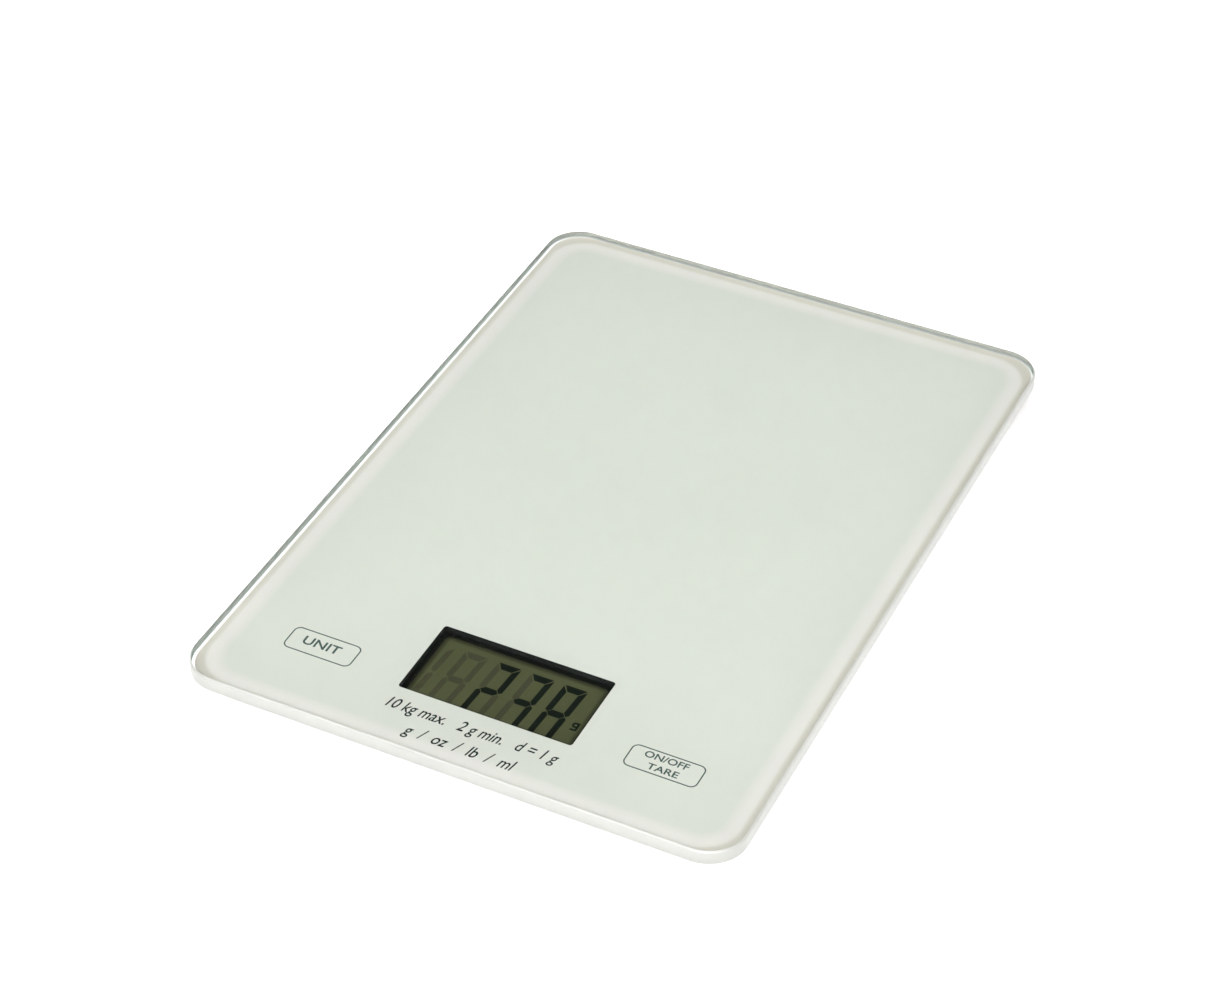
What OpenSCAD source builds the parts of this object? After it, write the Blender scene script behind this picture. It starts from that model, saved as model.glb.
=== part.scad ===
// Slim glass kitchen scale. Four strain-gauge feet carry a two-piece housing,
// and the housing carries a toughened glass platform with a printed underside.
// Millimetres. +Z is up, -Y is the display end, and z = 0 is the table.

/* [Glass platform] */
// Width of the glass, across the display
plate_w = 140; // [138:1:150]
// Depth of the glass, from the display end to the far end
plate_d = 200; // [198:1:215]
// Thickness of the glass
glass_t = 4; // [3:0.5:5]
// Corner radius of the glass
corner_r = 9.5; // [8:0.5:12]
// Width of the ground arris along every edge of the glass
arris = 0.4; // [0.2:0.1:0.6]
// Height of the top of the glass above the table
total_h = 16; // [16:0.5:18]
// Clear border between the glass edge and the white print, front and sides
print_inset = 1.15; // [1:0.05:3]
// Clear border at the far end
print_inset_back = 0.55; // [0.5:0.05:1]

/* [Display window] */
// Width of the clear window in the print
window_w = 44.5; // [42:0.5:45]
// Depth of the clear window in the print
window_d = 23.1; // [20:0.1:24]
// Sideways place of the window's middle
window_x = 0.3; // [-0.4:0.1:0.4]
// Lengthwise place of the window's middle
window_y = -69.4; // [-69.8:0.1:-69]

/* [Housing] */
// Inset of the housing's widest line from the glass edge
rim_inset = 3; // [2.5:0.5:4]
// Height of the housing's underside above the table
base_z = 2.4; // [2.2:0.1:2.6]
// Height of the joint line between the two housing halves
parting_z = 7.4; // [7.2:0.1:7.6]
// Thickness of the base and of the side walls
wall = 1.6; // [1.4:0.1:1.8]

/* [Feet] */
// Sideways distance of each foot from the middle
foot_x = 47; // [46:0.5:47.5]
// Lengthwise distance of each foot from the middle
foot_y = 76; // [75:0.5:76.5]
// Radius of each foot
foot_r = 9; // [8:0.1:9.2]

/* [Battery bay] */
// Lengthwise place of the coin cell's middle
bay_y = 25; // [20:1:28]
// Radius of the coin cell
coin_r = 10; // [10:0.1:10]
// Thickness of the coin cell
coin_t = 3.2; // [2.5:0.1:3.2]

/* [Hidden] */
$fn = 64;
eps = 0.01;

// Heights, from the glass down
z_glass = total_h - glass_t;
print_t = 0.1;
z_print = z_glass - print_t;
tape_t = 0.5;
z_frame = z_print - tape_t;         // top face of the upper frame
plate_t = 1.2;                      // thickness of the frame's top plate
z_ceiling = z_frame - plate_t;      // roof of the cavity
z_floor = base_z + wall;            // floor of the cavity

// Housing outline: the corner centres stay put while the inset grows downwards
side_centre_x = plate_w / 2 - 15;
side_centre_y = plate_d / 2 - 15;
rim_z = z_frame - 1.5;
slope_top_z = z_frame - 3;
slope_bottom_z = base_z + 1.2;
outer_profile = [                   // [height, inset from the glass edge]
    [base_z, rim_inset + 9.4],
    [base_z + 0.5, rim_inset + 8.2],
    [slope_bottom_z, rim_inset + 7.2],
    [slope_top_z, rim_inset + 1.0],
    [z_frame - 2.3, rim_inset + 0.35],
    [rim_z, rim_inset],
    [z_frame - 0.4, rim_inset],
    [z_frame, rim_inset + 0.35]
];
slope_wall = wall + 0.6;            // wall of the sloping side, measured level

// Load cells: square stampings that hang under the upper frame over each foot
cell_side = 22;
cell_t = 1.8;
z_cell = 6.4;
z_cell_top = z_cell + cell_t;
gauge_y = 8.6;                      // from the cell's middle to the gauge
gauge_size = [5, 3.2, 0.4];
stud_r = 1.5;
seat_side = 25;
pad_r = foot_r - 1;
foot_hole_r = foot_r + 0.5;
corners = [[-1, -1], [1, -1], [-1, 1], [1, 1]];   // front left, front right, rear left, rear right

// Wiring
wire_r = 0.4;
wire_pitch = 1.2;
wire_z = z_cell_top + wire_r;

// Fasteners
cover_screw_at = [[-53, -48], [53, -48], [-53, 48], [53, 48], [-16, 84], [16, 84]];
cover_thread_r = 1.3;
cover_head_r = 2.4;
z_boss = 6;                         // where the two halves' bosses meet
board_screw_at = [[-31, -86], [31, -86], [-31, -45], [31, -45]];
board_thread_r = 0.8;
thread_gap = 0.02;

// Circuit board and display stack
board_t = 1.2;
z_board = z_ceiling - 3.6 - board_t;
z_board_top = z_board + board_t;
pad_z = z_board_top + wire_r;       // height of a wire soldered to the board
board_x = 33.5;
board_y = [-88, -42];
lcd_x = 26;
lcd_y = [-85.4, -53.2];
lcd_ledge_y = -57.4;
polariser_t = 0.2;
lcd_glass_t = 1.1;
z_polariser = z_ceiling - polariser_t;
z_lcd_front = z_polariser - lcd_glass_t;
z_lcd_rear = z_lcd_front - lcd_glass_t;
z_reflector = z_lcd_rear - polariser_t;
zebra_y = [-56.4, -54.4];
key_x = 43.6;
key_y = -77.1;
key_size = [17, 7.6];

// Battery bay
door_x = 15;                        // half width of the door's recess
door_y = [bay_y - 17, bay_y + 17];
door_gap = 0.2;
door_t = 1.6;
hinge_r = 1;
hinge_y = door_y[1] - 1.2;
hinge_z = base_z + 1.1;
hinge_pin_r = 0.6;
hinge_bore_r = 0.65;
scoop_depth = 1;
barb_x = 4;                         // half width of the latch barb
barb_reach = 0.5;                   // how far the barb hooks over the ledge
bay_r = coin_r + 0.3;
z_coin = z_floor + 0.4;
z_bay_roof = z_coin + coin_t + 1.3;
bay_roof_t = 0.8;
contact_t = 0.3;

// ---------- shared shapes ----------

module rounded_square(w, d, r) {
    square([w - 2 * r, d], center = true);
    square([w, d - 2 * r], center = true);
    for (x = [-1, 1], y = [-1, 1])
        translate([x * (w / 2 - r), y * (d / 2 - r)]) circle(r);
}

module rounded_plate(w, d, r, h) {
    linear_extrude(h) rounded_square(w, d, r);
}

// A slab whose round corners keep their centres while the outline moves in or out
module tapered_slab(centre_x, centre_y, r1, r2, h) {
    rotate([90, 0, 0]) linear_extrude(2 * centre_y, center = true)
        polygon([[-centre_x - r1, 0], [centre_x + r1, 0], [centre_x + r2, h], [-centre_x - r2, h]]);
    rotate([90, 0, 90]) linear_extrude(2 * centre_x, center = true)
        polygon([[-centre_y - r1, 0], [centre_y + r1, 0], [centre_y + r2, h], [-centre_y - r2, h]]);
    for (x = [-1, 1], y = [-1, 1])
        translate([x * centre_x, y * centre_y, 0]) cylinder(h = h, r1 = r1, r2 = r2);
}

// Housing outline at [height, inset] points
module housing_stack(points) {
    for (i = [0 : len(points) - 2])
        translate([0, 0, points[i][0]])
            tapered_slab(side_centre_x, side_centre_y, 15 - points[i][1], 15 - points[i + 1][1],
                         points[i + 1][0] - points[i][0]);
}

function inset_at(z) = lookup(z, outer_profile);
function outer_between(z1, z2) = concat(
    [[z1, inset_at(z1)]],
    [for (p = outer_profile) if (p[0] > z1 + eps && p[0] < z2 - eps) p],
    [[z2, inset_at(z2)]]
);

module block(x, y, z) {
    translate([x[0], y[0], z[0]]) cube([x[1] - x[0], y[1] - y[0], z[1] - z[0]]);
}

module post(r, z1, z2) {
    translate([0, 0, z1]) cylinder(h = z2 - z1, r = r);
}

// Places a foot's parts at a corner, with local +Y towards the middle of the scale
module at_corner(i) {
    translate([corners[i][0] * foot_x, corners[i][1] * foot_y, 0])
        mirror([0, corners[i][1] > 0 ? 1 : 0, 0]) children();
}

// Straight runs joined by slightly fuller round bends
module wire(points, r) {
    for (i = [0 : len(points) - 2]) {
        run = points[i + 1] - points[i];
        translate(points[i]) rotate([0, acos(run[2] / norm(run)), atan2(run[1], run[0])])
            cylinder(h = norm(run), r = r);
        if (i > 0) translate(points[i]) sphere(r * 1.12);
    }
}

// Pan-head self-tapping screw, point upwards, with its head's top at z = 0
module screw(head_r, head_h, thread_r, length, pitch) {
    core_r = thread_r * 0.78;
    turns = floor(length * 0.6 / pitch);
    thread_top = head_h + length - thread_r;
    difference() {
        rotate_extrude() polygon(concat(
            [[0, 0], [head_r * 0.8, 0], [head_r, head_h * 0.35], [head_r, head_h], [core_r, head_h]],
            [for (i = [0 : turns - 1], p = [[0, core_r], [0.4, thread_r], [0.6, thread_r]])
                [p[1], thread_top - (turns - i - p[0]) * pitch]],
            [[core_r, thread_top], [0, head_h + length]]
        ));
        for (a = [0, 90]) rotate([0, 0, a])
            block([-head_r * 0.55, head_r * 0.55], [-head_r * 0.11, head_r * 0.11], [-1, head_h * 0.55]);
    }
}

// ---------- platform ----------

module glass_platform() {
    cx = plate_w / 2 - corner_r;
    cy = plate_d / 2 - corner_r;
    color([0.80, 0.92, 0.88, 0.4]) translate([0, 0, z_glass]) {
        tapered_slab(cx, cy, corner_r - arris, corner_r, arris);
        translate([0, 0, arris]) tapered_slab(cx, cy, corner_r, corner_r, glass_t - 2 * arris);
        translate([0, 0, glass_t - arris]) tapered_slab(cx, cy, corner_r, corner_r - arris, arris);
    }
}

module backing_print() {
    color([0.93, 0.95, 0.92]) translate([0, 0, z_print]) difference() {
        translate([0, (print_inset - print_inset_back) / 2, 0])
            rounded_plate(plate_w - 2 * print_inset, plate_d - print_inset - print_inset_back,
                          corner_r - print_inset, print_t);
        translate([window_x, window_y, -1]) rounded_plate(window_w, window_d, 0.8, 2);
    }
}

module mounting_tape() {
    color([0.95, 0.95, 0.93]) translate([0, 0, z_frame]) difference() {
        rounded_plate(plate_w - 9, plate_d - 9, 9, tape_t);
        translate([0, 0, -1]) rounded_plate(plate_w - 25, plate_d - 25, 3, 3);
    }
}

// ---------- housing ----------

module cell_seat() {
    difference() {
        translate([0, 0, 7]) rounded_plate(seat_side, seat_side, 3, z_ceiling + eps - 7);
        block([-cell_side / 2 - 0.2, cell_side / 2 + 0.2], [-cell_side / 2 - 0.2, cell_side / 2 + 0.2],
              [6, z_cell_top]);
        block([-8.5, 8.5], [-8.5, 8.5], [6, z_ceiling]);
        block([-4, 4], [0, seat_side], [7.9, z_ceiling]);      // way out for the gauge and its wires
    }
}

module upper_frame() {
    color([0.93, 0.94, 0.92]) difference() {
        union() {
            difference() {
                housing_stack(outer_between(parting_z + 0.15, z_frame));
                housing_stack([[7, rim_inset + 5.2], [8.6, rim_inset + 3.3], [z_ceiling, rim_inset + 2.2]]);
            }
            for (i = [0 : 3]) at_corner(i) cell_seat();
            for (p = cover_screw_at) translate(p) post(3.2, z_boss, z_ceiling + eps);
            for (p = board_screw_at) translate(p) post(2.2, z_board_top, z_ceiling + eps);
            for (y = [-30, 0, 55])
                block([-57, 57], [y - 0.6, y + 0.6], [z_ceiling - 0.8, z_ceiling + eps]);
        }
        block([window_x - 25.2, window_x + 25.2], [window_y - 14.4, window_y + 14.4], [z_ceiling - 1, z_frame + 1]);
        for (p = cover_screw_at) translate(p) post(cover_thread_r + thread_gap, z_boss - 1, z_ceiling - 0.4);
        for (p = board_screw_at) translate(p) post(board_thread_r + thread_gap, z_board_top - 1, z_ceiling - 0.4);
        for (x = [-1, 1]) translate([x * 31.5, key_y, 0]) post(0.8, z_ceiling - 1, z_frame + 1);
    }
}

module battery_bay() {
    block([-door_x - 2.6, door_x + 2.6], [door_y[0] - 2.2, door_y[1] + 2.6], [z_floor - eps, z_floor + 1.6]);
    translate([0, bay_y, 0]) post(bay_r + 1.7, z_floor, z_bay_roof + bay_roof_t);
}

module battery_bay_hollow() {
    block([-door_x, door_x], door_y, [base_z - 1, z_floor + 0.1]);
    block([-door_x, door_x], [hinge_y - 1.5, door_y[1]], [base_z, z_floor + 0.8]);
    translate([0, bay_y, 0]) post(bay_r, z_floor, z_bay_roof);
    for (x = [-1, 1]) translate([x * door_x, hinge_y, hinge_z]) rotate([0, x * 90, 0])
        translate([0, 0, -1]) cylinder(h = 2.6, r = hinge_bore_r);
    // thumb scoop in front of the door
    translate([0, door_y[0], base_z]) cylinder(h = 2 * scoop_depth, r = 7, center = true);
    // pocket over the ledge that the latch barb snaps past
    block([-barb_x - 0.4, barb_x + 0.4], [door_y[0] - barb_reach - 0.3, door_y[0] + 1.8], [z_floor, z_floor + 1]);
    // slots where the two contacts pass the cell's wall
    block([-13.5, 0], [bay_y - 3.3, bay_y + 3.3], [z_floor + 1.6, z_bay_roof]);
    block([0, 13.5], [bay_y - 2.8, bay_y + 2.8], [z_coin + coin_t + 0.3, z_bay_roof]);
}

module bottom_cover() {
    color([0.92, 0.93, 0.91]) difference() {
        union() {
            difference() {
                housing_stack(outer_between(base_z, parting_z));
                housing_stack([[z_floor, rim_inset + 8.9], [parting_z + eps, inset_at(parting_z) + slope_wall]]);
            }
            // tongue that fits inside the upper frame
            translate([0, 0, parting_z - 1]) difference() {
                rounded_plate(plate_w - 17, plate_d - 17, 6.5, 2.2);
                translate([0, 0, -1]) rounded_plate(plate_w - 19.4, plate_d - 19.4, 5.3, 5);
            }
            for (p = cover_screw_at) translate(p) post(3.5, z_floor - eps, z_boss);
            for (i = [0 : 3]) at_corner(i) {
                post(foot_hole_r + 1.2, z_floor - eps, z_floor + 1.4);
                for (x = [-1, 1], y = [-1, 1]) translate([x * 9.6, y * 9.6, 0])
                    block([-1.3, 1.3], [-1.3, 1.3], [z_floor - eps, z_cell]);
            }
            battery_bay();
        }
        for (p = cover_screw_at) translate(p) {
            post(cover_head_r + 0.3, base_z - 1, base_z + 2);
            post(cover_thread_r + 0.15, base_z, z_boss + 1);
        }
        for (i = [0 : 3]) at_corner(i) post(foot_hole_r, base_z - 1, z_floor + 2);
        battery_bay_hollow();
        // shallow panel where a rating label would go
        translate([0, -34, base_z - 1]) rounded_plate(64, 36, 3, 1.25);
    }
}

module cover_screws() {
    color([0.72, 0.73, 0.75]) for (p = cover_screw_at)
        translate([p[0], p[1], base_z + 0.4]) screw(cover_head_r, 1.6, cover_thread_r, 5.2, 0.9);
}

// ---------- battery ----------

module battery_door() {
    plate_x = door_x - door_gap;
    free_y = door_y[0] + door_gap;
    color([0.92, 0.93, 0.91]) difference() {
        union() {
            block([-plate_x, plate_x], [free_y, hinge_y], [base_z, base_z + door_t]);
            block([-barb_x, barb_x], [free_y, free_y + 1.2], [base_z + 1, z_floor + 0.8]);
            block([-barb_x, barb_x], [door_y[0] - barb_reach, free_y + 1.2], [z_floor + 0.1, z_floor + 0.8]);
            translate([0, hinge_y, hinge_z]) rotate([0, 90, 0]) {
                cylinder(h = 2 * plate_x, r = hinge_r, center = true);
                cylinder(h = 2 * (door_x + 1.3), r = hinge_pin_r, center = true);
            }
        }
        // slits that free the latch tongue
        for (x = [-1, 1]) translate([x * 5, 0, 0])
            block([-0.35, 0.35], [free_y - 1, free_y + 8], [base_z - 1, z_floor + 1]);
        // finger grooves across the tongue
        for (i = [0 : 2])
            block([-3.6, 3.6], [free_y + 1.6 + 1.6 * i, free_y + 2.3 + 1.6 * i], [base_z - 1, base_z + 0.35]);
        // plain triangle that points to the hinge
        translate([0, free_y + 11, base_z - 1]) linear_extrude(1.3) polygon([[-3, 0], [3, 0], [0, 4]]);
    }
}

module coin_cell() {
    color([0.78, 0.79, 0.80]) translate([0, bay_y, z_coin]) {
        rotate_extrude() polygon([
            [0, 0], [coin_r - 0.5, 0], [coin_r, 0.5], [coin_r, coin_t - 0.5], [coin_r - 0.3, coin_t - 0.4],
            [coin_r - 1.2, coin_t - 0.4], [coin_r - 1.4, coin_t], [0, coin_t]
        ]);
    }
}

module battery_contact_positive() {
    color([0.82, 0.80, 0.74]) {
        block([-coin_r - contact_t, -coin_r], [bay_y - 3, bay_y + 3], [z_floor + 2, z_bay_roof - 0.1]);
        block([-coin_r - 4.4, -coin_r - contact_t], [bay_y - 1.5, bay_y + 1.5],
              [z_floor + 2, z_floor + 2 + contact_t]);
    }
}

module battery_contact_negative() {
    z_tip = z_coin + coin_t;
    z_top = z_bay_roof - 0.1;
    color([0.82, 0.80, 0.74]) translate([0, bay_y + 2.5, 0]) rotate([90, 0, 0]) linear_extrude(5) polygon([
        [-4, z_tip], [-3, z_tip], [4, z_top - contact_t], [14.4, z_top - contact_t], [14.4, z_top],
        [3.8, z_top], [-3.1, z_tip + contact_t], [-4, z_tip + contact_t]
    ]);
}

// ---------- feet and load cells ----------

module foot(i) {
    color([0.90, 0.91, 0.90]) at_corner(i) rotate_extrude() polygon([
        [0, 1.4], [pad_r + 0.1, 1.4], [pad_r + 0.1, 0.9], [foot_r - 0.4, 0.9], [foot_r, 1.3],
        [foot_r, 4.2], [foot_r - 0.4, 4.6], [4, 4.6], [4, z_cell], [stud_r, z_cell],
        [stud_r, z_cell_top + 0.6], [stud_r - 0.3, z_cell_top + 0.9], [0, z_cell_top + 0.9]
    ]);
}

module foot_pad(i) {
    color([0.35, 0.36, 0.37]) at_corner(i) rotate_extrude() polygon([
        [0, 0], [pad_r - 0.5, 0], [pad_r, 0.5], [pad_r, 1.4], [0, 1.4]
    ]);
}

// Push-on spring washer that holds the foot's stud in the load cell
module foot_clip(i) {
    color([0.70, 0.71, 0.73]) at_corner(i) difference() {
        post(3.4, z_cell_top, z_cell_top + 0.4);
        post(stud_r + 0.03, z_cell_top - 1, z_cell_top + 1);
        for (a = [0 : 60 : 300]) rotate([0, 0, a])
            block([stud_r, 2.5], [-0.2, 0.2], [z_cell_top - 1, z_cell_top + 1]);
    }
}

// Steel stamping: a square ring with a tongue that bends as the foot pushes up
module load_cell(i) {
    half = cell_side / 2;
    color([0.66, 0.67, 0.70]) at_corner(i) difference() {
        block([-half, half], [-half, half], [z_cell, z_cell_top]);
        for (x = [-1, 1]) translate([x * 5.6, 0, 0]) block([-0.6, 0.6], [-7, 6], [z_cell - 1, z_cell_top + 1]);
        block([-6.2, 6.2], [-7, -5.8], [z_cell - 1, z_cell_top + 1]);
        post(stud_r + 0.05, z_cell - 1, z_cell_top + 1);
        for (x = [-1, 1], y = [-1, 1]) translate([x * half, y * half, 0]) rotate([0, 0, 45])
            block([-1.4, 1.4], [-1.4, 1.4], [z_cell - 1, z_cell_top + 1]);
    }
}

module strain_gauges() {
    color([0.95, 0.94, 0.90]) for (i = [0 : 3]) at_corner(i)
        translate([-gauge_size[0] / 2, gauge_y - gauge_size[1] / 2, z_cell_top]) cube(gauge_size);
}

// ---------- wiring ----------

// Routes on the right-hand side; the left side mirrors them
function rear_route() = [
    [foot_x, foot_y - gauge_y - gauge_size[1] / 2, wire_z], [foot_x, 59, wire_z], [38, 59, wire_z],
    [38, -37, wire_z], [24, -37, wire_z], [24, -41, wire_z], [24, -43.2, pad_z], [24, -45, pad_z]
];
function front_route() = [
    [foot_x, -foot_y + gauge_y + gauge_size[1] / 2, wire_z], [foot_x, -56, wire_z],
    [36, -56, wire_z], [33, -56, pad_z], [31, -56, pad_z]
];

module sensor_wires(k) {
    for (side = [-1, 1]) mirror([side < 0 ? 1 : 0, 0, 0]) {
        translate([-k * wire_pitch, 0, 0]) wire_shifted(rear_route(), k);
        translate([-k * wire_pitch, 0, 0]) wire_shifted(front_route(), -k);
    }
}

// Moves all but the first point along Y, so that three wires nest round each corner
module wire_shifted(route, k) {
    wire(concat([route[0]], [for (i = [1 : len(route) - 1]) route[i] + [0, k * wire_pitch, 0]]), wire_r);
}

module sensor_wires_red() { color([0.75, 0.12, 0.10]) sensor_wires(-1); }
module sensor_wires_white() { color([0.92, 0.92, 0.90]) sensor_wires(0); }
module sensor_wires_black() { color([0.08, 0.08, 0.09]) sensor_wires(1); }

module battery_wire_positive() {
    tab_z = z_floor + 2 + contact_t + wire_r;
    color([0.75, 0.12, 0.10]) wire([
        [-coin_r - 3.6, bay_y, tab_z], [-coin_r - 6.4, bay_y, tab_z], [-coin_r - 6.4, -38, tab_z],
        [-12, -38, tab_z + 0.6], [-12, -43, pad_z], [-12, -45, pad_z]
    ], wire_r);
}

module battery_wire_negative() {
    tab_z = z_bay_roof - 0.1 - contact_t - wire_r;
    color([0.08, 0.08, 0.09]) wire([
        [coin_r + 3.8, bay_y, tab_z], [coin_r + 6.4, bay_y, tab_z], [coin_r + 6.4, -38, tab_z],
        [12, -38, tab_z], [12, -43, pad_z], [12, -45, pad_z]
    ], wire_r);
}

// ---------- circuit board ----------

module main_board() {
    color([0.10, 0.38, 0.20]) difference() {
        block([-board_x, board_x], board_y, [z_board, z_board_top]);
        for (p = board_screw_at) translate(p) post(1.1, z_board - 1, z_board_top + 1);
    }
}

module board_screws() {
    color([0.72, 0.73, 0.75]) for (p = board_screw_at)
        translate([p[0], p[1], z_board - 1.1]) screw(1.8, 1.1, board_thread_r, 4, 0.6);
}

module controller_blob() {
    color([0.06, 0.06, 0.07]) translate([0, -47, z_board_top]) rotate_extrude() polygon(
        concat([[0, 0]], [for (a = [0 : 15 : 90]) [4 * cos(a), 1.3 * sin(a)]])
    );
}

module board_capacitors() {
    color([0.62, 0.52, 0.38]) for (p = [[-6.5, -48.6], [-6.5, -45.4], [6.5, -48.6], [6.5, -45.4], [17, -49]])
        translate([p[0], p[1], z_board_top]) block([-1, 1], [-0.6, 0.6], [0, 0.9]);
}

module board_resistors() {
    color([0.12, 0.12, 0.13]) for (p = [[-17, -49], [-17, -46.6], [-20, -49], [-20, -46.6], [20, -49], [-24, -49]])
        translate([p[0], p[1], z_board_top]) block([-0.8, 0.8], [-0.4, 0.4], [0, 0.45]);
}

module touch_pad(side) {
    color([0.78, 0.50, 0.32]) translate([side * key_x, key_y, z_print - 0.1])
        linear_extrude(0.1) rounded_square(key_size[0] - 1, key_size[1] - 1, 1);
}

module touch_leads() {
    lead_r = 0.15;
    z_lead = z_print - print_t - lead_r;
    color([0.90, 0.62, 0.20]) for (x = [-1, 1]) wire([
        [x * (key_x - 6), key_y, z_lead], [x * 31.5, key_y, z_lead], [x * 31.5, key_y, z_board_top]
    ], lead_r);
}

// ---------- display ----------

module lcd_front_glass() {
    color([0.55, 0.57, 0.45]) block([-lcd_x, lcd_x], lcd_y, [z_lcd_front, z_polariser]);
}

module lcd_rear_glass() {
    color([0.50, 0.52, 0.42]) block([-lcd_x, lcd_x], [lcd_y[0], lcd_ledge_y], [z_lcd_rear, z_lcd_front]);
}

module lcd_polariser() {
    color([0.40, 0.41, 0.33]) block([window_x - 24.5, window_x + 24.5], [window_y - 13.8, window_y + 13.8],
                                    [z_polariser, z_ceiling]);
}

module lcd_reflector() {
    color([0.62, 0.63, 0.52]) block([-25.5, 25.5], [lcd_y[0] + 0.5, lcd_ledge_y - 0.2], [z_reflector, z_lcd_rear]);
}

module zebra_strip() {
    color([0.25, 0.25, 0.27]) block([-24, 24], zebra_y, [z_board_top, z_lcd_front]);
}

module lcd_holder() {
    color([0.07, 0.07, 0.08]) difference() {
        block([-28.2, 28.2], [lcd_y[0] - 1.8, lcd_y[1] + 1.6], [z_board_top, z_ceiling]);
        block([-lcd_x - 0.2, lcd_x + 0.2], [lcd_y[0] - 0.2, lcd_y[1] + 0.2], [z_reflector, z_ceiling + 1]);
        block([-23.5, 23.5], [lcd_y[0] + 2.4, lcd_ledge_y - 2.1], [z_board_top - 1, z_ceiling]);
        block([-24.3, 24.3], [zebra_y[0] - 0.2, zebra_y[1] + 0.2], [z_board_top - 1, z_ceiling]);
    }
}

module window_gasket() {
    color([0.05, 0.05, 0.05]) translate([window_x, window_y, z_ceiling]) difference() {
        rounded_plate(50, 28.4, 1, z_print - z_ceiling);
        translate([0, 0, -1]) rounded_plate(window_w + 0.4, window_d + 0.4, 0.9, 4);
    }
}

glass_platform();
backing_print();
mounting_tape();
upper_frame();
bottom_cover();
cover_screws();
battery_door();
coin_cell();
battery_contact_positive();
battery_contact_negative();
battery_wire_positive();
battery_wire_negative();
foot(0);  // foot_front_left
foot(1);  // foot_front_right
foot(2);  // foot_rear_left
foot(3);  // foot_rear_right
foot_pad(0);  // foot_pad_front_left
foot_pad(1);  // foot_pad_front_right
foot_pad(2);  // foot_pad_rear_left
foot_pad(3);  // foot_pad_rear_right
foot_clip(0);  // foot_clip_front_left
foot_clip(1);  // foot_clip_front_right
foot_clip(2);  // foot_clip_rear_left
foot_clip(3);  // foot_clip_rear_right
load_cell(0);  // load_cell_front_left
load_cell(1);  // load_cell_front_right
load_cell(2);  // load_cell_rear_left
load_cell(3);  // load_cell_rear_right
strain_gauges();
sensor_wires_red();
sensor_wires_white();
sensor_wires_black();
main_board();
board_screws();
controller_blob();
board_capacitors();
board_resistors();
touch_pad(-1);  // touch_pad_unit
touch_pad(1);  // touch_pad_tare
touch_leads();
lcd_front_glass();
lcd_rear_glass();
lcd_polariser();
lcd_reflector();
zebra_strip();
lcd_holder();
window_gasket();
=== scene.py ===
import math

import bmesh
import bpy
from mathutils import Matrix, Vector


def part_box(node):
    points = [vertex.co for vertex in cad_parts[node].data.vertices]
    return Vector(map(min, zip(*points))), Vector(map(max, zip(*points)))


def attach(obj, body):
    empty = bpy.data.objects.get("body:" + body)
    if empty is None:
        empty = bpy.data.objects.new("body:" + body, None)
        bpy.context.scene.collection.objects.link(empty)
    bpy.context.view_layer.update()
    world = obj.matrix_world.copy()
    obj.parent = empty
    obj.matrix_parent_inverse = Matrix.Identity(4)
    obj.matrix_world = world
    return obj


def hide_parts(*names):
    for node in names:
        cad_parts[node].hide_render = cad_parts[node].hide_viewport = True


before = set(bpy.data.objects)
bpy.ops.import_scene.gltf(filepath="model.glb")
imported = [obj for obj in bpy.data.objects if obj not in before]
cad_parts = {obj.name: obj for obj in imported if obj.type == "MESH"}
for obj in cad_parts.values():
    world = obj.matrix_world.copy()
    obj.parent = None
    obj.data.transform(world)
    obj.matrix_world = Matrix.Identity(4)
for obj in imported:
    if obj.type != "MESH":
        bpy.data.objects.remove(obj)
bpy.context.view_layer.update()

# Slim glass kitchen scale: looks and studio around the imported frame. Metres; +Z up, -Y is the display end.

MM = 0.001
ROOT = "housing"
CORNERS = ("front_left", "front_right", "rear_left", "rear_right")


# ---------- camera ----------

CAMERA_AZIMUTH = math.radians(25.56)
CAMERA_ELEVATION = math.radians(39.57)
CAMERA_ROLL = math.radians(0.486)
CAMERA_DISTANCE = 0.74621
CAMERA_SHIFT_RIGHT = -0.005767
CAMERA_SHIFT_UP = 0.000938
SENSOR_WIDTH = 36.0
LENS = 89.6


def make_camera():
    """Looks at the middle of the glass top from the display end's right."""
    back = Vector((
        math.sin(CAMERA_AZIMUTH) * math.cos(CAMERA_ELEVATION),
        -math.cos(CAMERA_AZIMUTH) * math.cos(CAMERA_ELEVATION),
        math.sin(CAMERA_ELEVATION),
    ))
    right = Vector((0, 0, 1)).cross(back).normalized()
    up = back.cross(right)
    c, s = math.cos(CAMERA_ROLL), math.sin(CAMERA_ROLL)
    right, up = c * right + s * up, c * up - s * right
    target = Vector((0, 0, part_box("glass_platform")[1][2]))
    place = target + CAMERA_SHIFT_RIGHT * right + CAMERA_SHIFT_UP * up + CAMERA_DISTANCE * back
    data = bpy.data.cameras.new("camera")
    data.sensor_width = SENSOR_WIDTH
    data.lens = LENS
    data.clip_start = 0.01
    camera = bpy.data.objects.new("camera", data)
    camera.matrix_world = Matrix.Translation(place) @ Matrix((right, up, back)).transposed().to_4x4()
    bpy.context.scene.collection.objects.link(camera)
    bpy.context.scene.camera = camera


make_camera()


# ---------- measures ----------

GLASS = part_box("glass_platform")
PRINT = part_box("backing_print")
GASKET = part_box("window_gasket")
GLASS_W = GLASS[1][0] - GLASS[0][0]
GLASS_D = GLASS[1][1] - GLASS[0][1]
GLASS_LOW, GLASS_TOP = GLASS[0][2], GLASS[1][2]
GLASS_RADIUS = 9.5 * MM
ARRIS = 0.4 * MM
INK_BITE = 0.02 * MM       # the ink is fired on, so it reaches a hair into the glass
MARK_BITE = 0.06 * MM

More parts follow.
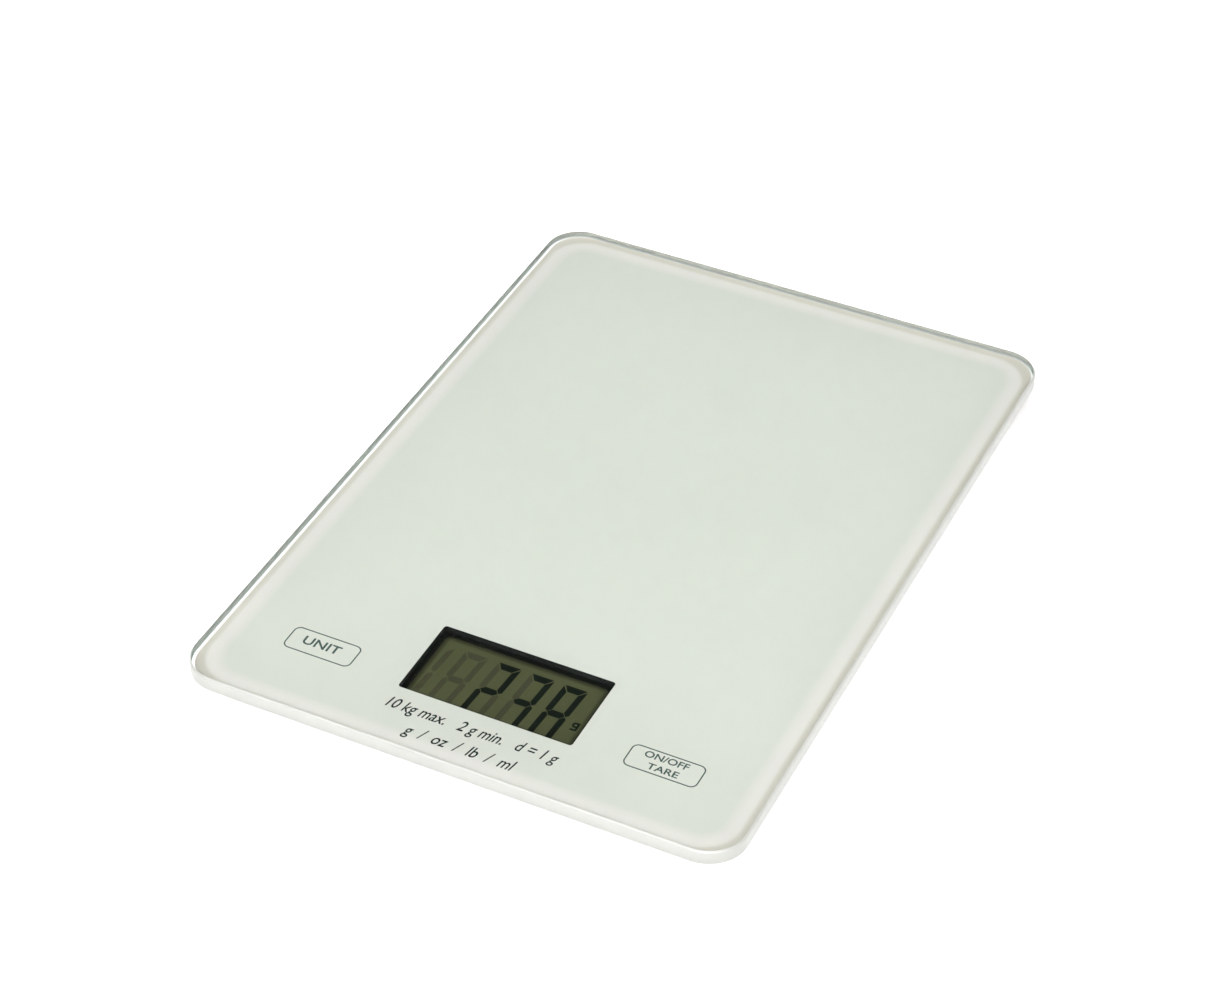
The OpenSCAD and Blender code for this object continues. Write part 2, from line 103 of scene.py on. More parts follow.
WINDOW_CENTRE = ((GASKET[0][0] + GASKET[1][0]) / 2, (GASKET[0][1] + GASKET[1][1]) / 2)
WINDOW_SIZE = (44.5 * MM, 23.1 * MM)
WINDOW_RADIUS = 0.8 * MM

UNIT_KEY = (-44.0 * MM, -77.05 * MM, 17.8 * MM, 7.6 * MM)      # centre x, centre y, width, depth
TARE_KEY = (43.9 * MM, -77.4 * MM, 18.2 * MM, 7.4 * MM)
KEY_RADIUS = 1.7 * MM
KEY_LINE = 0.32 * MM
KEY_WEIGHT = 0.016         # how much bolder than the built-in font the letters are, at size 1
FONT_CAP = 0.729           # capital height of the built-in font at size 1
LINE_CENTRE = 0.3 * MM     # the two lines of text under the display
LINE_CAP = 3.45 * MM
LINE_WEIGHT = 0.008
LINE_SLANT = 0.2           # sideways lean per unit of height

FACE_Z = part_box("lcd_polariser")[1][2]
SEGMENT_LIFT = 0.04 * MM
GHOST_LIFT = 0.02 * MM
DIGIT_H = 19.5 * MM
DIGIT_W = 6.0 * MM
DIGIT_PITCH = 8.57 * MM
DIGIT_TOP = -61.9 * MM
FIRST_DIGIT_LEFT = -22.85 * MM
DIGIT_SLANT = 0.06
BAR_W = 1.5 * MM           # width of the upright segments
BAR_H = 1.95 * MM          # height of the level segments
BAR_GAP = 0.12 * MM
BAR_TIP = 0.45             # where the middle segment's tips lie across the upright ones
SEGMENTS = {"1": "bc", "2": "abged", "3": "abgcd", "8": "abcdefg"}
READING = "  238"
GHOSTS = "18888"
GRAM_CENTRE = (19.6 * MM, -72.9 * MM)
GRAM_SIZE = 1.7 * MM
GRAM_STROKE = 0.5 * MM

PAD_RIDGES = ((0.16, 0.32), (0.42, 0.58), (0.68, 0.84))     # inner and outer radius over the pad's own
PAD_CORE = 0.06            # likewise for the middle of the pad, where its profile starts
PAD_RIM = (0.9, 0.92)      # likewise for the wall between the last groove and the outer rim
PAD_GROOVE = 0.4 * MM
PAD_DRAFT = 0.12 * MM
RECESS_CENTRE = (0.0, -34.0 * MM)      # the label's shallow recess in the base
RECESS_SIZE = (64.0 * MM, 36.0 * MM)
RECESS_FLOOR = 2.65 * MM
LABEL_RADIUS = 2.0 * MM
LABEL_GAP = 0.8 * MM
LABEL_T = 0.18 * MM
LABEL_EDGE = 0.05 * MM


# ---------- colours and finishes ----------

GLASS_IOR = 1.52
GLASS_ABSORPTION = 10.0    # per metre, for the colour that it absorbs most
GLASS_TINT = (0.0, 0.75, 0.60)
GROUND_ROUGHNESS = (0.30, 0.36)
# The ground rim's grey is painted shade, standing in for the shadowed floor seen through the edge.
GROUND_RIM_SHADE = (0.41, 0.41, 0.395)
GROUND_CLARITY = 0.45      # share of the light that passes the ground rim; the rest scatters off it
LEVEL_NORMAL = (0.96, 0.99)            # the normal's Z over which the ground rim turns into a polished face
INK_FIELD = (0.76, 0.728, 0.672)
# Painted light on the ink near the glass edge: a glow band, and beige shade at the very rim.
PAINTED_EDGE_GLOW = (0.865, 0.797, 0.762)
PAINTED_RIM_SHADE = (0.715, 0.645, 0.575)
PAINTED_RIM_REACH = 9.0 * MM   # how far in from the glass edge the painted rim shade and painted glow reach
PAINTED_RIM_ROUNDING = 1.3     # its corners are this much rounder than the glass
DISPLAY_OLIVE = (0.082, 0.083, 0.040)
# Painted shade on the display face: black at the window's edge, easing to olive, set off-centre so the left
# and far sides get more.
DISPLAY_SHADE_BLACK = (0.004, 0.004, 0.003)
DISPLAY_SHADE = 2.6 * MM
SHADE_CENTRE = (WINDOW_CENTRE[0] + 0.2 * MM, WINDOW_CENTRE[1] - 0.2 * MM)


# ---------- materials ----------

class Shader:
    """A node material with a Principled surface, built one call at a time."""

    def __init__(self, name, colour, roughness, **sockets):
        self.material = bpy.data.materials.new(name)
        self.material.use_nodes = True
        self.tree = self.material.node_tree
        self.surface = self.tree.nodes["Principled BSDF"]
        self.set("Base Color", (*colour, 1))
        self.set("Roughness", roughness)
        for socket, value in sockets.items():
            self.set(socket.replace("_", " ").title().replace("Ior", "IOR"), value)
        self.coordinates = self.node("ShaderNodeTexCoord")
        self.place = self.coordinates.outputs["Object"]

    def set(self, socket, value):
        self.surface.inputs[socket].default_value = value

    def node(self, kind, **values):
        """A node with its sockets or settings filled in by name."""
        n = self.tree.nodes.new(kind)
        for key, value in values.items():
            if key in n.inputs:
                n.inputs[key].default_value = value
            else:
                setattr(n, key, value)
        return n

    def link(self, a, b):
        self.tree.links.new(a, b)

    def drive(self, value, socket):
        """Feeds a node's output into one of the surface's sockets."""
        self.link(value, self.surface.inputs[socket])

    def stretched(self, scale):
        """Object coordinates stretched along the axes, for brushed or rolled grain."""
        mapping = self.node("ShaderNodeMapping", Scale=scale)
        self.link(self.place, mapping.inputs["Vector"])
        return mapping.outputs["Vector"]

    def noise(self, size, detail=3.0, stretch=None):
        """Noise whose features are about size metres across."""
        n = self.node("ShaderNodeTexNoise", Scale=1.0 / size, Detail=detail)
        self.link(self.stretched(stretch) if stretch else self.place, n.inputs["Vector"])
        return n.outputs["Fac"]

    def ramp(self, value, low, high, start=0.3, end=0.7):
        """Maps start..end of a value onto low..high; numbers for a factor, triples for a colour."""
        if isinstance(low, tuple):
            n = self.node("ShaderNodeValToRGB")
            n.color_ramp.elements[0].position = start
            n.color_ramp.elements[1].position = end
            n.color_ramp.elements[0].color = (*low, 1)
            n.color_ramp.elements[1].color = (*high, 1)
            self.link(value, n.inputs["Fac"])
            return n.outputs["Color"]
        n = self.node("ShaderNodeMapRange")
        for socket, v in zip(("From Min", "From Max", "To Min", "To Max"), (start, end, low, high)):
            n.inputs[socket].default_value = v
        self.link(value, n.inputs["Value"])
        return n.outputs["Result"]

    def bands(self, value, stops):
        """Colour along a 0-1 value, easing between (position, colour) stops."""
        n = self.node("ShaderNodeValToRGB")
        n.color_ramp.interpolation = "EASE"
        while len(n.color_ramp.elements) < len(stops):
            n.color_ramp.elements.new(0.5)
        for element, (position, colour) in zip(n.color_ramp.elements, stops):
            element.position = position
            element.color = (*colour, 1)
        self.link(value, n.inputs["Fac"])
        return n.outputs["Color"]

    def vary_colour(self, size, low, high, **kw):
        self.drive(self.ramp(self.noise(size, **kw), low, high), "Base Color")
        return self

    def vary_roughness(self, size, low, high, **kw):
        self.drive(self.ramp(self.noise(size, **kw), low, high), "Roughness")
        return self

    def bump(self, *layers):
        """Each layer is (size, height in metres, stretch or None)."""
        normal = None
        for size, height, stretch in layers:
            n = self.node("ShaderNodeBump", Strength=1.0, Distance=height)
            self.link(self.noise(size, detail=4.0, stretch=stretch), n.inputs["Height"])
            if normal:
                self.link(normal, n.inputs["Normal"])
            normal = n.outputs["Normal"]
        self.drive(normal, "Normal")
        return self


def glass_material():
    """Clear float glass with a satin ground rim that scatters part of the light; the grey of that scatter is
    painted shade for the shadowed floor seen through the edge. Its green is only light absorbed on the way
    through.
    """
    m = Shader("float_glass", (1.0, 1.0, 1.0), 0.0, transmission_weight=1.0, ior=GLASS_IOR)
    polished = m.ramp(m.noise(0.035), 0.0, 0.012)
    ground = m.ramp(m.noise(0.0008), *GROUND_ROUGHNESS)
    facing = m.node("ShaderNodeSeparateXYZ")
    m.link(m.coordinates.outputs["Normal"], facing.inputs["Vector"])
    unsigned = m.node("ShaderNodeMath", operation="ABSOLUTE")
    m.link(facing.outputs["Z"], unsigned.inputs[0])
    level = unsigned.outputs["Value"]      # 1 on the two faces, 0 on the upright rim
    choose = m.node("ShaderNodeMix", data_type="FLOAT")
    m.link(m.ramp(level, 0.0, 1.0, *LEVEL_NORMAL), choose.inputs["Factor"])
    m.link(ground, choose.inputs["A"])
    m.link(polished, choose.inputs["B"])
    m.drive(choose.outputs["Result"], "Roughness")
    # Painted shade: grey on the upright ground rim, white on the two faces.
    m.drive(m.ramp(level, GROUND_RIM_SHADE, (1.0, 1.0, 1.0), *LEVEL_NORMAL), "Base Color")
    m.drive(m.ramp(level, GROUND_CLARITY, 1.0, *LEVEL_NORMAL), "Transmission Weight")
    absorb = m.node("ShaderNodeVolumeAbsorption", Density=GLASS_ABSORPTION)
    absorb.inputs["Color"].default_value = (*GLASS_TINT, 1)
    m.link(absorb.outputs["Volume"], m.tree.nodes["Material Output"].inputs["Volume"])
    return m.material


def outline_distance(m, width, depth, radius, centre=(0, 0)):
    """Node value: distance in metres inwards from the outline of a rounded rectangle."""
    def math_node(operation, a, b=0.0):
        n = m.node("ShaderNodeMath", operation=operation)
        for socket, v in zip(n.inputs, (a, b)):
            if isinstance(v, (int, float)):
                socket.default_value = v
            else:
                m.link(v, socket)
        return n.outputs["Value"]

    split = m.node("ShaderNodeSeparateXYZ")
    m.link(m.place, split.inputs["Vector"])
    from_x = math_node("ABSOLUTE", math_node("SUBTRACT", split.outputs["X"], centre[0]))
    from_y = math_node("ABSOLUTE", math_node("SUBTRACT", split.outputs["Y"], centre[1]))
    over_x = math_node("SUBTRACT", from_x, width / 2 - radius)
    over_y = math_node("SUBTRACT", from_y, depth / 2 - radius)
    square_x = math_node("POWER", math_node("MAXIMUM", over_x), 2.0)
    square_y = math_node("POWER", math_node("MAXIMUM", over_y), 2.0)
    corner = math_node("SQRT", math_node("ADD", square_x, square_y))
    inside = math_node("MINIMUM", math_node("MAXIMUM", over_x, over_y))
    return math_node("SUBTRACT", radius, math_node("ADD", corner, inside))


def print_material():
    """White ink under the glass, with painted edge light: painted beige shade at the very rim, a painted
    glow band inside it, then the ink's own colour.
    """
    m = Shader("white_ink_and_painted_edge_light", INK_FIELD, 0.6)
    distance = outline_distance(m, GLASS_W, GLASS_D, PAINTED_RIM_ROUNDING * GLASS_RADIUS)
    # Painted light by distance from the glass edge: rim shade, then glow, then the plain field.
    rim = m.bands(m.ramp(distance, 0.0, 1.0, 0.0, PAINTED_RIM_REACH), (
        (0.20, PAINTED_RIM_SHADE), (0.36, PAINTED_EDGE_GLOW), (0.46, PAINTED_EDGE_GLOW), (0.85, INK_FIELD),
    ))
    patches = m.node("ShaderNodeMix", data_type="RGBA", blend_type="MULTIPLY", Factor=1.0)
    m.link(rim, patches.inputs["A"])
    m.link(m.ramp(m.noise(0.05), (0.985, 0.985, 0.985), (1.0, 1.0, 1.0)), patches.inputs["B"])
    m.drive(patches.outputs["Result"], "Base Color")
    return m.bump((0.0004, 2e-6, None)).material


def shaded(colour, share):
    return tuple(share * c for c in colour)


def ink_material(name, colour):
    m = Shader(name, colour, 0.6, specular_ior_level=0.05)
    return m.vary_colour(0.0008, shaded(colour, 0.9), colour).material


def abs_material(name, colour):
    """Moulded ABS with a fine spark-eroded grain."""
    m = Shader(name, colour, 0.45, specular_ior_level=0.45)
    m.vary_colour(0.03, shaded(colour, 0.97), colour)
    m.vary_roughness(0.004, 0.38, 0.52)
    return m.bump((0.00045, 1.2e-5, None), (0.02, 2e-5, None)).material


def rubber_material():
    m = Shader("foot_rubber", (0.10, 0.105, 0.11), 0.75, specular_ior_level=0.3)
    m.vary_colour(0.006, (0.085, 0.09, 0.095), (0.13, 0.135, 0.14))
    return m.bump((0.0003, 1.5e-5, None)).material


def steel_material(name, colour, stretch=(1, 12, 1), roughness=(0.25, 0.42)):
    """Bare or plated metal; its grain runs across the axis that is scaled up most."""
    m = Shader(name, colour, 0.3, metallic=1.0)
    m.vary_colour(0.004, shaded(colour, 0.85), colour, stretch=stretch)
    m.vary_roughness(0.0012, *roughness, stretch=stretch)
    return m.bump((0.0004, 3e-6, stretch)).material


def plastic_material(name, colour, roughness=0.35):
    m = Shader(name, colour, roughness)
    m.vary_colour(0.002, shaded(colour, 0.8), colour)
    return m.bump((0.0005, 4e-6, None)).material


def board_material():
    """Green solder mask with darker stretches where the copper runs below it."""
    m = Shader("solder_mask", (0.02, 0.16, 0.07), 0.3, coat_weight=0.3)
    tracks = m.node("ShaderNodeTexVoronoi", Scale=260.0, distance="MANHATTAN")
    m.link(m.place, tracks.inputs["Vector"])
    m.drive(m.ramp(tracks.outputs["Distance"], (0.02, 0.20, 0.09), (0.012, 0.11, 0.05)), "Base Color")
    return m.bump((0.001, 1e-5, None)).material


def display_material():
    """Olive face of a segment display under a satin film, with painted shade round it: black at the window's
    edge, easing to olive inwards, for the shadow of the window's walls over a thin dark border of the
    display's own.
    """
    m = Shader("display_face", DISPLAY_OLIVE, 0.35, specular_ior_level=0.05)
    distance = outline_distance(m, *WINDOW_SIZE, DISPLAY_SHADE, SHADE_CENTRE)
    # Painted shade: black, then half-dark olive, then the display's own olive.
    shade = m.bands(m.ramp(distance, 0.0, 1.0, 0.0, DISPLAY_SHADE), (
        (0.30, DISPLAY_SHADE_BLACK), (0.55, shaded(DISPLAY_OLIVE, 0.5)), (1.0, DISPLAY_OLIVE),
    ))
    m.drive(shade, "Base Color")
    m.vary_roughness(0.0006, 0.28, 0.42)
    return m.bump((0.00015, 2e-6, None)).material


# ---------- mesh helpers ----------

def piece(name, bm, material, body=ROOT, smooth_angle=30.0):
    """Turns a bmesh into an object that rides on a body; edges sharper than smooth_angle stay sharp."""
    bmesh.ops.recalc_face_normals(bm, faces=bm.faces)
    limit = math.radians(smooth_angle)
    for face in bm.faces:
        face.smooth = True
    for edge in bm.edges:
        edge.smooth = len(edge.link_faces) == 2 and edge.calc_face_angle(0.0) < limit
    mesh = bpy.data.meshes.new(name)
    bm.to_mesh(mesh)
    bm.free()
    mesh.materials.append(material)
    obj = bpy.data.objects.new(name, mesh)
    bpy.context.scene.collection.objects.link(obj)
    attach(obj, body)
    return obj


def rounded_outline(width, depth, radius, centre=(0, 0), steps=16):
    """Points round a rectangle with round corners, anticlockwise from the right-hand front corner."""
    points = []
    for quarter, (sx, sy) in enumerate(((1, -1), (1, 1), (-1, 1), (-1, -1))):
        cx = centre[0] + sx * (width / 2 - radius)
        cy = centre[1] + sy * (depth / 2 - radius)
        for k in range(steps + 1):
            a = math.radians(-90 + 90 * (quarter + k / steps))
            points.append((cx + radius * math.cos(a), cy + radius * math.sin(a)))
    return points


def inset_outline(width, depth, radius, inset, centre=(0, 0), steps=16):
    """The same outline moved inwards all round."""
    return rounded_outline(width - 2 * inset, depth - 2 * inset, radius - inset, centre, steps)


def circle(radius, centre, steps=80):
    turns = [2 * math.pi * k / steps for k in range(steps)]
    return [(centre[0] + radius * math.cos(a), centre[1] + radius * math.sin(a)) for a in turns]


def add_ring(bm, outline, z):
    return [bm.verts.new((x, y, z)) for x, y in outline]


def bridge(bm, lower, upper):
    n = len(lower)
    for i in range(n):
        bm.faces.new((lower[i], lower[(i + 1) % n], upper[(i + 1) % n], upper[i]))


def lofted(bm, outlines):
    """Closed solid through (outline, z) sections."""
    rings = [add_ring(bm, outline, z) for outline, z in outlines]
    bm.faces.new(list(reversed(rings[0])))
    for a, b in zip(rings, rings[1:]):
        bridge(bm, a, b)
    bm.faces.new(rings[-1])


def plate_with_hole(bm, outer, inner, low, high):
    """A flat plate between an outer and an inner outline with the same number of points."""
    rings = [add_ring(bm, o, z) for o, z in ((outer, low), (outer, high), (inner, high), (inner, low))]
    for a, b in zip(rings, rings[1:] + rings[:1]):
        bridge(bm, a, b)


def flat_prism(bm, points, low, high):
    """Extrudes one closed outline of a printed mark or display segment."""
    bottom = add_ring(bm, points, low)
    top = add_ring(bm, points, high)
    bm.faces.new(list(reversed(bottom)))
    bm.faces.new(top)
    bridge(bm, bottom, top)


def thicken(bm, low, high):
    """Turns a flat mesh into a closed plate between two heights."""
    faces = list(bm.faces)
    rim = [edge for edge in bm.edges if len(edge.link_faces) == 1]
    below = {}
    for v in list(bm.verts):
        v.co.z = high
        below[v] = bm.verts.new((v.co.x, v.co.y, low))
    for face in faces:
        bm.faces.new([below[v] for v in reversed(face.verts)])
    for edge in rim:
        a, b = edge.verts
        bm.faces.new((a, b, below[b], below[a]))


# ---------- glass and print ----------

clear_glass = glass_material()
white_ink_and_painted_edge_light = print_material()
key_ink = ink_material("key_ink", (0.085, 0.115, 0.105))
text_ink = ink_material("text_ink", (0.032, 0.035, 0.033))


def glass_plate():
    """The plate with its ground arris, whose two corners are softened."""
    arris = ((ARRIS * 1.12, 0.0), (ARRIS, ARRIS * 0.05), (ARRIS * 0.05, ARRIS), (0.0, ARRIS * 1.12))
    sections = [(inset, GLASS_LOW + rise) for inset, rise in arris]
    sections += [(inset, GLASS_TOP - rise) for inset, rise in reversed(arris)]
    bm = bmesh.new()
    lofted(bm, [(inset_outline(GLASS_W, GLASS_D, GLASS_RADIUS, i, steps=24), z) for i, z in sections])
    plate = piece("glass_plate", bm, clear_glass, smooth_angle=20.0)
    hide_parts("glass_platform")


def print_layer():
    """The white ink with the clear window in it."""
    width, depth = PRINT[1][0] - PRINT[0][0], PRINT[1][1] - PRINT[0][1]
    middle = (PRINT[0][1] + PRINT[1][1]) / 2
    outer = rounded_outline(width, depth, GLASS_RADIUS - (GLASS_W - width) / 2, (0, middle))
    inner = rounded_outline(*WINDOW_SIZE, WINDOW_RADIUS, WINDOW_CENTRE)
    bm = bmesh.new()
    plate_with_hole(bm, outer, inner, PRINT[0][2], GLASS_LOW + INK_BITE)
    layer = piece("print_layer", bm, white_ink_and_painted_edge_light)
    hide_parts("backing_print")


def key_outline(name, key):
    x, y, width, depth = key
    outer = rounded_outline(width, depth, KEY_RADIUS, (x, y), steps=10)
    inner = inset_outline(width, depth, KEY_RADIUS, KEY_LINE, (x, y), steps=10)
    bm = bmesh.new()
    plate_with_hole(bm, outer, inner, GLASS_LOW, GLASS_LOW + MARK_BITE)
    piece(name, bm, key_ink)


def text_mesh(name, text, weight):
    """The built-in font's letters at size 1 as a flat mesh; weight thickens their strokes."""
    curve = bpy.data.curves.new(name, "FONT")
    curve.body = text
    curve.size = 1.0
    curve.resolution_u = 4
    curve.offset = weight
    source = bpy.data.objects.new(name + "_source", curve)
    bpy.context.scene.collection.objects.link(source)
    bpy.context.view_layer.update()
    flat = bpy.data.meshes.new_from_object(source.evaluated_get(bpy.context.evaluated_depsgraph_get()))
    bpy.data.objects.remove(source)
    return flat


def legend(name, text, centre_x, baseline, width, cap_height, material, weight, slant=0.0):
    """Generic legend as a thin printed mesh, fitted to a width and a capital height."""
    flat = text_mesh(name, text, weight)
    xs = [v.co.x for v in flat.vertices]
    left, span = min(xs), max(xs) - min(xs)
    bm = bmesh.new()
    bm.from_mesh(flat)
    bpy.data.meshes.remove(flat)
    bmesh.ops.remove_doubles(bm, verts=bm.verts, dist=1e-5)
    for v in bm.verts:
        v.co.x = centre_x + ((v.co.x - left) / span - 0.5) * width
        v.co.y = baseline + v.co.y * cap_height / FONT_CAP
        v.co.x += slant * (v.co.y - baseline - cap_height / 2)
    thicken(bm, GLASS_LOW, GLASS_LOW + MARK_BITE)
    piece(name, bm, material)


def key_legend(name, text, x, baseline, width, cap_height):
    """A word in one of the keys, placed in millimetres."""
    legend(name, text, x * MM, baseline * MM, width * MM, cap_height * MM, key_ink, KEY_WEIGHT)


def capacity_legend(name, text, baseline, width):
    """A slanted line under the display, placed in millimetres."""
    legend(
        name, text, LINE_CENTRE, baseline * MM, width * MM, LINE_CAP, text_ink, LINE_WEIGHT, LINE_SLANT,
    )


glass_plate()
print_layer()
key_outline("key_outline_unit", UNIT_KEY)
key_outline("key_outline_tare", TARE_KEY)
key_legend("legend_unit", "UNIT", -44.3, -78.0, 9.7, 2.8)
key_legend("legend_on_off", "ON/OFF", 43.7, -76.6, 10.8, 2.05)
key_legend("legend_tare", "TARE", 44.2, -79.9, 7.6, 2.0)
capacity_legend("capacity_line", "10 kg max.   2 g min.   d = 1 g", -87.75, 43.0)
capacity_legend("units_line", "g  /  oz  /  lb  /  ml", -94.1, 27.2)


# ---------- display ----------

lit_ink = ink_material("display_segment", (0.006, 0.009, 0.006))
ghost_ink = ink_material("display_ghost", (0.064, 0.061, 0.033))


def segment_outline(which):
    """Outline of one of the seven segments in a digit's own box, bottom left at the origin."""
    w, h, mid, gap = DIGIT_W, DIGIT_H, DIGIT_H / 2, BAR_GAP
    if which in "ad":
        edge, inner = (h, h - BAR_H) if which == "a" else (0, BAR_H)
        return [(2 * gap, edge), (w - 2 * gap, edge), (w - BAR_W - gap, inner), (BAR_W + gap, inner)]
    if which == "g":
        half = BAR_H / 2
        left, right = BAR_W * BAR_TIP + gap, w - BAR_W * BAR_TIP - gap
        return [
            (left, mid), (BAR_W + gap, mid + half), (w - BAR_W - gap, mid + half),
            (right, mid), (w - BAR_W - gap, mid - half), (BAR_W + gap, mid - half),
        ]
    upright = [
        (0, h - 3 * gap), (BAR_W, h - BAR_H - 2 * gap), (BAR_W, mid + BAR_H / 2 + gap),
        (BAR_W * BAR_TIP, mid + gap), (0, mid + BAR_H * 0.3 + gap),
    ]
    if which in "ce":
        upright = [(x, h - y) for x, y in reversed(upright)]
    if which in "bc":
        upright = [(w - x, y) for x, y in reversed(upright)]
    return upright


def digits(name, text, lift, material):
    """Draws a row of slanted digits on the display's face."""
    bm = bmesh.new()
    for place, digit in enumerate(text):
        for which in SEGMENTS.get(digit, ""):
            outline = []
            for x, y in segment_outline(which):
                lean = DIGIT_SLANT * (y - DIGIT_H)
                left = FIRST_DIGIT_LEFT + place * DIGIT_PITCH + lean
                outline.append((left + x, DIGIT_TOP - DIGIT_H + y))
            flat_prism(bm, outline, FACE_Z, FACE_Z + lift)
    piece(name, bm, material)


def gram_mark():
    """The small g that shows the unit: a round bowl over a hooked tail."""
    x, y = GRAM_CENTRE
    half = GRAM_SIZE / 2
    eye = GRAM_SIZE - 2 * GRAM_STROKE
    bowl = rounded_outline(GRAM_SIZE, GRAM_SIZE, half * 0.9, GRAM_CENTRE, steps=6)
    hollow = rounded_outline(eye, eye, eye * 0.45, GRAM_CENTRE, steps=6)
    bm = bmesh.new()
    plate_with_hole(bm, bowl, hollow, FACE_Z, FACE_Z + SEGMENT_LIFT)
    right, low = x + half, y - half - 2 * GRAM_STROKE
    tail = [
        (right - GRAM_STROKE, y + half), (right - GRAM_STROKE, low + GRAM_STROKE),
        (x - half * 0.8, low + GRAM_STROKE), (x - half, low), (right - GRAM_STROKE * 0.6, low),
        (right, low + GRAM_STROKE * 0.6), (right, y + half),
    ]
    flat_prism(bm, tail, FACE_Z, FACE_Z + SEGMENT_LIFT * 1.1)
    piece("display_gram_mark", bm, lit_ink)


digits("display_lit", READING, SEGMENT_LIFT, lit_ink)
digits("display_ghosts", GHOSTS, GHOST_LIFT, ghost_ink)
gram_mark()


# ---------- underside ----------

rubber = rubber_material()


def ridged_pad(corner):
    """Rubber pad with moulded rings that grip the table."""
    node = "foot_pad_" + corner
    low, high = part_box(node)
    centre = ((low[0] + high[0]) / 2, (low[1] + high[1]) / 2)
    radius = (high[0] - low[0]) / 2
    profile = [(PAD_CORE * radius, PAD_GROOVE)]
    for inner, outer in PAD_RIDGES:
        profile += [(inner * radius, PAD_GROOVE), (inner * radius + PAD_DRAFT, 0.0)]
        profile += [(outer * radius - PAD_DRAFT, 0.0), (outer * radius, PAD_GROOVE)]
    profile += [(PAD_RIM[0] * radius, PAD_GROOVE), (PAD_RIM[1] * radius, PAD_DRAFT)]
    profile += [(radius - PAD_DRAFT, PAD_DRAFT), (radius, 2 * PAD_DRAFT), (radius, high[2] - low[2])]
    bm = bmesh.new()
    lofted(bm, [(circle(r, centre), low[2] + z) for r, z in profile])
    pad = piece("ridged_pad_" + corner, bm, rubber, "foot_" + corner + "_body")
    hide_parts(node)


def rating_label():
    """Blank silvered film in the shallow recess of the base."""
    width, depth = (side - LABEL_GAP for side in RECESS_SIZE)
    sections = ((LABEL_EDGE, LABEL_T), (0.0, LABEL_T - LABEL_EDGE), (0.0, 0.0))
    bm = bmesh.new()
    lofted(bm, [
        (inset_outline(width, depth, LABEL_RADIUS, inset, RECESS_CENTRE), RECESS_FLOOR - fall)
        for inset, fall in sections
    ])
    film = steel_material("label_film", (0.66, 0.67, 0.68), (30, 1, 1), (0.46, 0.54))
    piece("rating_label", bm, film)


for corner in CORNERS:
    ridged_pad(corner)
rating_label()


# ---------- materials of the CAD nodes ----------

white_abs = abs_material("white_abs", (0.62, 0.62, 0.60))
black_abs = plastic_material("black_abs", (0.012, 0.012, 0.013), 0.4)
zinc = steel_material("zinc_plate", (0.62, 0.63, 0.66))
nickel = steel_material("nickel_plate", (0.72, 0.69, 0.62))
copper = steel_material("copper_foil", (0.80, 0.45, 0.28))
red_pvc = plastic_material("red_pvc", (0.55, 0.03, 0.025))
white_pvc = plastic_material("white_pvc", (0.80, 0.80, 0.78))
black_pvc = plastic_material("black_pvc", (0.02, 0.02, 0.022))
display_face = display_material()

NODE_MATERIALS = {
    "mounting_tape": plastic_material("foam_tape", (0.85, 0.85, 0.82), 0.7),
    "upper_frame": white_abs,
    "bottom_cover": white_abs,
    "battery_door": white_abs,
    "cover_screws": zinc,
    "board_screws": zinc,
    "coin_cell": steel_material("cell_can", (0.76, 0.77, 0.78), (1, 1, 1), (0.18, 0.32)),
    "battery_contact_positive": nickel,
    "battery_contact_negative": nickel,
    "battery_wire_positive": red_pvc,
    "battery_wire_negative": black_pvc,
    "strain_gauges": plastic_material("gauge_silicone", (0.84, 0.82, 0.76), 0.5),
    "sensor_wires_red": red_pvc,
    "sensor_wires_white": white_pvc,
    "sensor_wires_black": black_pvc,
    "main_board": board_material(),
    "controller_blob": plastic_material("epoxy", (0.012, 0.012, 0.014), 0.25),
    "board_capacitors": plastic_material("capacitor_body", (0.42, 0.30, 0.18), 0.4),
    "board_resistors": plastic_material("resistor_body", (0.02, 0.02, 0.022), 0.4),
    "touch_pad_unit": copper,
    "touch_pad_tare": copper,
    "touch_leads": copper,
    "lcd_front_glass": display_face,
    "lcd_rear_glass": display_face,
    "lcd_polariser": display_face,
    "lcd_reflector": plastic_material("reflector_foil", (0.35, 0.37, 0.28), 0.5),
    "zebra_strip": plastic_material("zebra_rubber", (0.08, 0.08, 0.09), 0.6),
    "lcd_holder": black_abs,
    "window_gasket": plastic_material("black_foam", (0.006, 0.006, 0.005), 0.8),
}
for corner in CORNERS:
    NODE_MATERIALS["foot_" + corner] = white_abs
    NODE_MATERIALS["foot_pad_" + corner] = rubber
    NODE_MATERIALS["foot_clip_" + corner] = zinc
    NODE_MATERIALS["load_cell_" + corner] = zinc

for node_name, node_material in NODE_MATERIALS.items():
    node_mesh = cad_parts[node_name].data
    node_mesh.materials.clear()
    node_mesh.materials.append(node_material)


# ---------- studio ----------

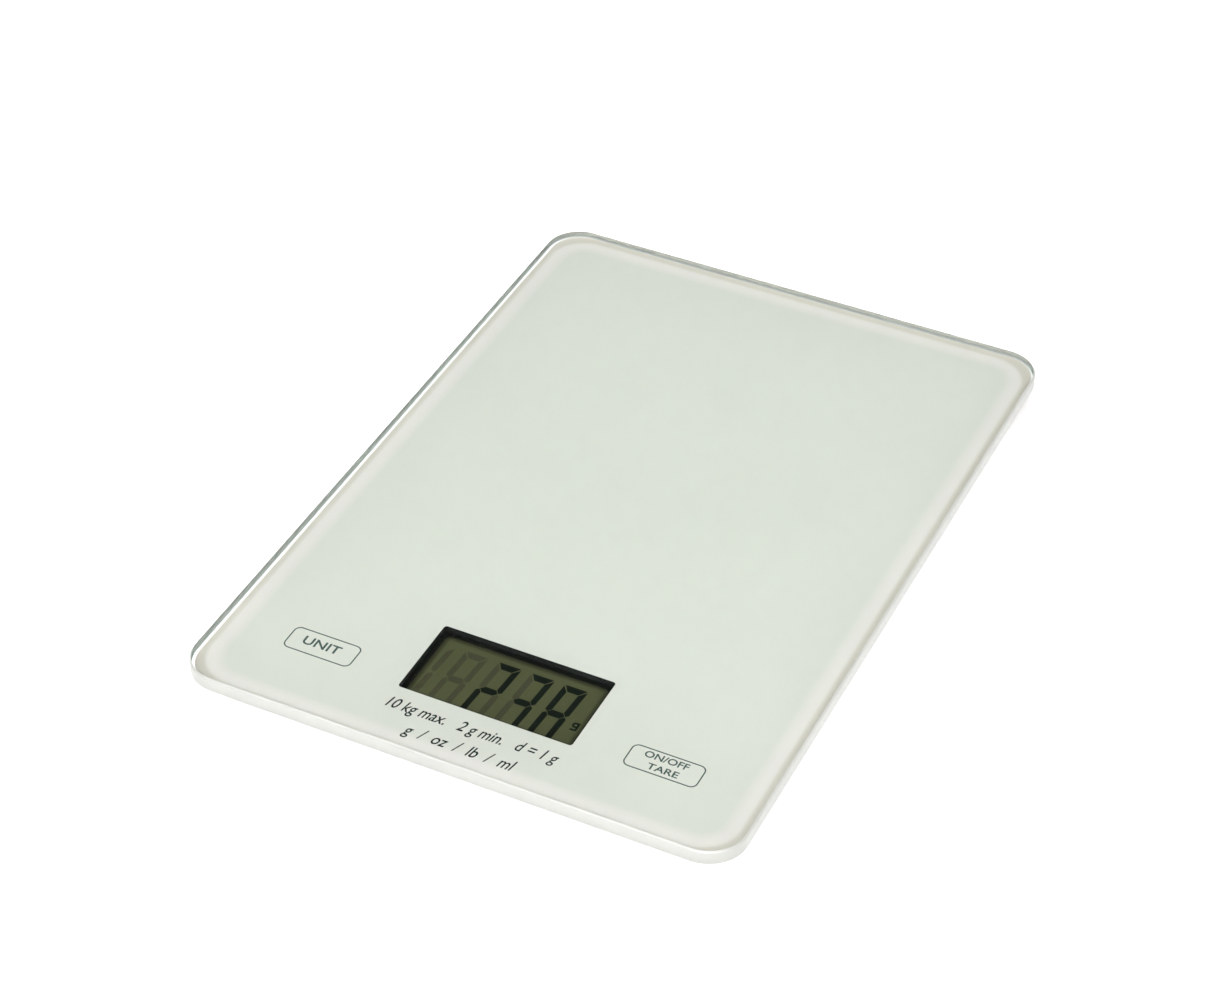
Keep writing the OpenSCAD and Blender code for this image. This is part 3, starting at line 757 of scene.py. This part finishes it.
FLOOR_HALF = 3.0
FLOOR_WHITE = 0.93
WORLD_SWEEP = ((0.18, 0.50), (0.48, 0.03))       # (height of the direction, grey): pale low down, dark above
SOFTBOXES = (                                    # name, place, size, power
    ("overhead_softbox", (0.5, -2.0, 3.0), (3.9, 2.4), 290),
    ("front_softbox", (1.0, -2.8, 3.2), (3.9, 1.8), 156),
)


def grey(value):
    return (value, value, value)


def make_floor():
    h = FLOOR_HALF
    bm = bmesh.new()
    bm.faces.new(add_ring(bm, ((-h, -h), (h, -h), (h, h), (-h, h)), 0))
    mesh = bpy.data.meshes.new("floor")
    bm.to_mesh(mesh)
    bm.free()
    table = Shader("white_table", grey(FLOOR_WHITE), 0.6)
    table.vary_colour(0.2, grey(FLOOR_WHITE - 0.005), grey(FLOOR_WHITE + 0.005))
    mesh.materials.append(table.material)
    floor = bpy.data.objects.new("floor", mesh)
    bpy.context.scene.collection.objects.link(floor)


def make_world():
    world = bpy.data.worlds.new("studio")
    world.use_nodes = True
    tree = world.node_tree
    direction = tree.nodes.new("ShaderNodeSeparateXYZ")
    tree.links.new(tree.nodes.new("ShaderNodeTexCoord").outputs["Generated"], direction.inputs["Vector"])
    sweep = tree.nodes.new("ShaderNodeValToRGB")
    for element, (height, value) in zip(sweep.color_ramp.elements, WORLD_SWEEP):
        element.position = height
        element.color = (*grey(value), 1)
    tree.links.new(direction.outputs["Z"], sweep.inputs["Fac"])
    tree.links.new(sweep.outputs["Color"], tree.nodes["Background"].inputs["Color"])
    bpy.context.scene.world = world


def softbox(name, place, size, power):
    """A large light aimed at the scale. None is mirrored in the glass, as behind a polarising filter."""
    data = bpy.data.lights.new(name, "AREA")
    data.shape = "RECTANGLE"
    data.size, data.size_y = size
    data.energy = power
    light = bpy.data.objects.new(name, data)
    light.location = place
    light.visible_glossy = False
    light.rotation_euler = (-Vector(place)).to_track_quat("-Z", "Y").to_euler()
    bpy.context.scene.collection.objects.link(light)


make_floor()
make_world()
for softbox_values in SOFTBOXES:
    softbox(*softbox_values)
bpy.context.scene.view_settings.view_transform = "Standard"
